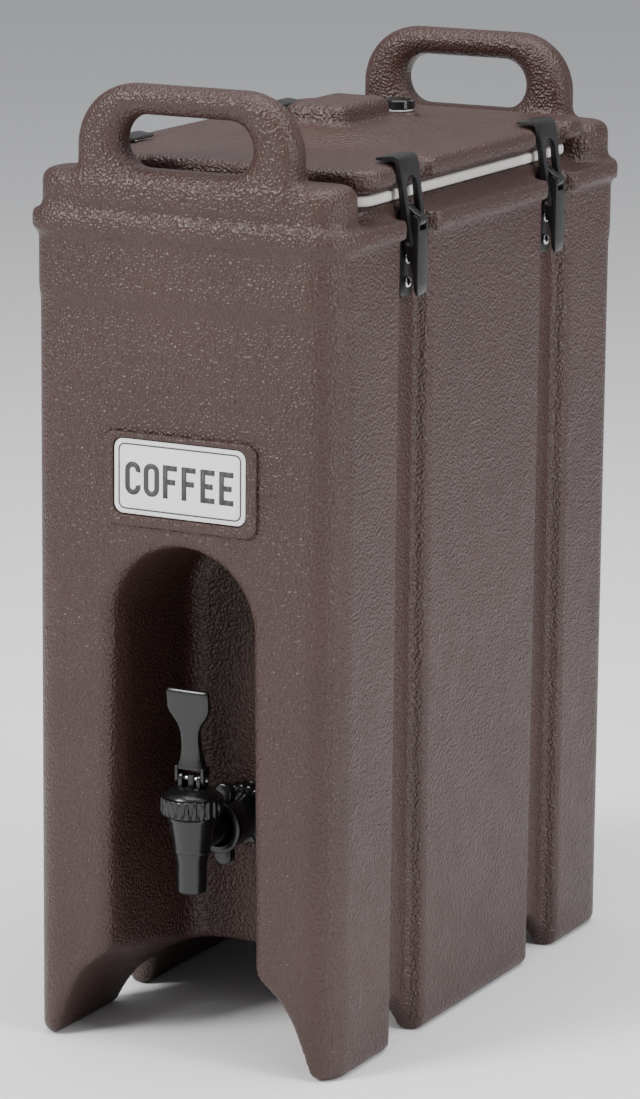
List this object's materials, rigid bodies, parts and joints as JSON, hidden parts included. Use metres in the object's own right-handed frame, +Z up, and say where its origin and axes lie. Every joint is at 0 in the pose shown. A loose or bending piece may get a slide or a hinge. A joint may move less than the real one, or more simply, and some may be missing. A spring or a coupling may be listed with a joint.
{
  "type": "insulated beverage dispenser",
  "caption": "Tall insulated tabletop dispenser for hot drinks: foam-walled casing with end handles, lift-off gasketed lid, draw latches and a lever spigot in a front niche.",
  "frame": {"origin": "on the floor under the middle of the bounding box", "axes": "+Z up along the height, -Y towards the spigot, +X across the narrow width so that the frame is right-handed"},
  "size_m": [0.229, 0.419, 0.616],
  "materials": {
    "casing": "pebble-grain rotationally moulded polyethylene",
    "foam": "rigid foam",
    "plug": "satin",
    "label": "satin printed plate",
    "gasket": "pale silicone",
    "seal": "silicone",
    "spigot": "black moulded nylon",
    "latch": "black moulded nylon, satin",
    "steel": "stainless"
  },
  "bodies": {
    "casing": {"body_shell": "casing", "tank_liner": "casing", "body_foam_core": "foam", "foam_port_plug": "plug", "label_plate": "label", "wall_tube": "spigot", "inner_seal": "seal", "outer_seal": "seal", "lock_nut": "spigot", "tail_washer": "seal", "spigot_body": "spigot", "bonnet": "spigot", "return_spring": "steel", "lever_pin": "steel", "latch_front_right_bracket": "latch", "latch_front_right_screw_1": "steel", "latch_front_right_screw_2": "steel", "latch_front_right_lever_pin": "steel", "latch_rear_right_bracket": "latch", "latch_rear_right_screw_1": "steel", "latch_rear_right_screw_2": "steel", "latch_rear_right_lever_pin": "steel", "latch_front_left_bracket": "latch", "latch_front_left_screw_1": "steel", "latch_front_left_screw_2": "steel", "latch_front_left_lever_pin": "steel", "latch_rear_left_bracket": "latch", "latch_rear_left_screw_1": "steel", "latch_rear_left_screw_2": "steel", "latch_rear_left_lever_pin": "steel"},
    "lid": {"lid_shell": "casing", "lid_foam_core": "foam", "lid_foam_plug": "plug", "lid_gasket": "gasket", "vent_seal": "seal"},
    "vent_cap": {"vent_cap": "spigot"},
    "wing_nut": {"wing_nut": "spigot"},
    "spigot_lever": {"spigot_lever": "spigot"},
    "stem": {"stem": "spigot", "seat_cup": "seal", "spring_washer": "steel"},
    "latch_front_right_lever": {"latch_front_right_lever": "latch", "latch_front_right_hook_pin": "steel"},
    "latch_front_right_hook": {"latch_front_right_hook": "latch"},
    "latch_rear_right_lever": {"latch_rear_right_lever": "latch", "latch_rear_right_hook_pin": "steel"},
    "latch_rear_right_hook": {"latch_rear_right_hook": "latch"},
    "latch_front_left_lever": {"latch_front_left_lever": "latch", "latch_front_left_hook_pin": "steel"},
    "latch_front_left_hook": {"latch_front_left_hook": "latch"},
    "latch_rear_left_lever": {"latch_rear_left_lever": "latch", "latch_rear_left_hook_pin": "steel"},
    "latch_rear_left_hook": {"latch_rear_left_hook": "latch"}
  },
  "joints": [
    {"name": "lid_lift", "type": "slide", "parent": "casing", "child": "lid", "axis": [0, 0, 1], "range_m": [0, 0.075]},
    {"name": "vent_cap_lift", "type": "slide", "parent": "lid", "child": "vent_cap", "axis": [0, 0, 1], "range_m": [0, 0.03]},
    {"name": "wing_nut_turn", "type": "hinge", "parent": "casing", "child": "wing_nut", "pos_m": [0, -0.14, 0.141], "axis": [0, -1, 0], "continuous": true},
    {"name": "spigot_lever_pull", "type": "hinge", "parent": "casing", "child": "spigot_lever", "pos_m": [0, -0.19, 0.181], "axis": [1, 0, 0], "range_deg": [0, 55]},
    {"name": "stem_lift", "type": "slide", "parent": "casing", "child": "stem", "axis": [0, 0, 1], "range_m": [0, 0.0024], "deforming": ["return_spring"]},
    {"name": "latch_front_right_lever_pivot", "type": "hinge", "parent": "casing", "child": "latch_front_right_lever", "pos_m": [0.109, -0.1015, 0.5315], "axis": [0, -1, 0], "range_deg": [0, 150]},
    {"name": "latch_front_right_hook_pivot", "type": "hinge", "parent": "latch_front_right_lever", "child": "latch_front_right_hook", "pos_m": [0.1075, -0.1015, 0.5176], "axis": [0, 1, 0], "range_deg": [0, 330]},
    {"name": "latch_rear_right_lever_pivot", "type": "hinge", "parent": "casing", "child": "latch_rear_right_lever", "pos_m": [0.109, 0.1015, 0.5315], "axis": [0, -1, 0], "range_deg": [0, 150]},
    {"name": "latch_rear_right_hook_pivot", "type": "hinge", "parent": "latch_rear_right_lever", "child": "latch_rear_right_hook", "pos_m": [0.1075, 0.1015, 0.5176], "axis": [0, 1, 0], "range_deg": [0, 330]},
    {"name": "latch_front_left_lever_pivot", "type": "hinge", "parent": "casing", "child": "latch_front_left_lever", "pos_m": [-0.109, -0.1015, 0.5315], "axis": [0, 1, 0], "range_deg": [0, 150]},
    {"name": "latch_front_left_hook_pivot", "type": "hinge", "parent": "latch_front_left_lever", "child": "latch_front_left_hook", "pos_m": [-0.1075, -0.1015, 0.5176], "axis": [0, -1, 0], "range_deg": [0, 330]},
    {"name": "latch_rear_left_lever_pivot", "type": "hinge", "parent": "casing", "child": "latch_rear_left_lever", "pos_m": [-0.109, 0.1015, 0.5315], "axis": [0, 1, 0], "range_deg": [0, 150]},
    {"name": "latch_rear_left_hook_pivot", "type": "hinge", "parent": "latch_rear_left_lever", "child": "latch_rear_left_hook", "pos_m": [-0.1075, 0.1015, 0.5176], "axis": [0, -1, 0], "range_deg": [0, 330]}
  ],
  "couplings": [
    {"joint": "stem_lift", "follows": "spigot_lever_pull", "m_per_rad": 0.0025},
    {"joint": "latch_front_right_lever_pivot", "follows": "lid_lift", "rad_per_m": 34.9},
    {"joint": "latch_front_right_hook_pivot", "follows": "lid_lift", "rad_per_m": 76.78},
    {"joint": "latch_rear_right_lever_pivot", "follows": "lid_lift", "rad_per_m": 34.9},
    {"joint": "latch_rear_right_hook_pivot", "follows": "lid_lift", "rad_per_m": 76.78},
    {"joint": "latch_front_left_lever_pivot", "follows": "lid_lift", "rad_per_m": 34.9},
    {"joint": "latch_front_left_hook_pivot", "follows": "lid_lift", "rad_per_m": 76.78},
    {"joint": "latch_rear_left_lever_pivot", "follows": "lid_lift", "rad_per_m": 34.9},
    {"joint": "latch_rear_left_hook_pivot", "follows": "lid_lift", "rad_per_m": 76.78}
  ]
}
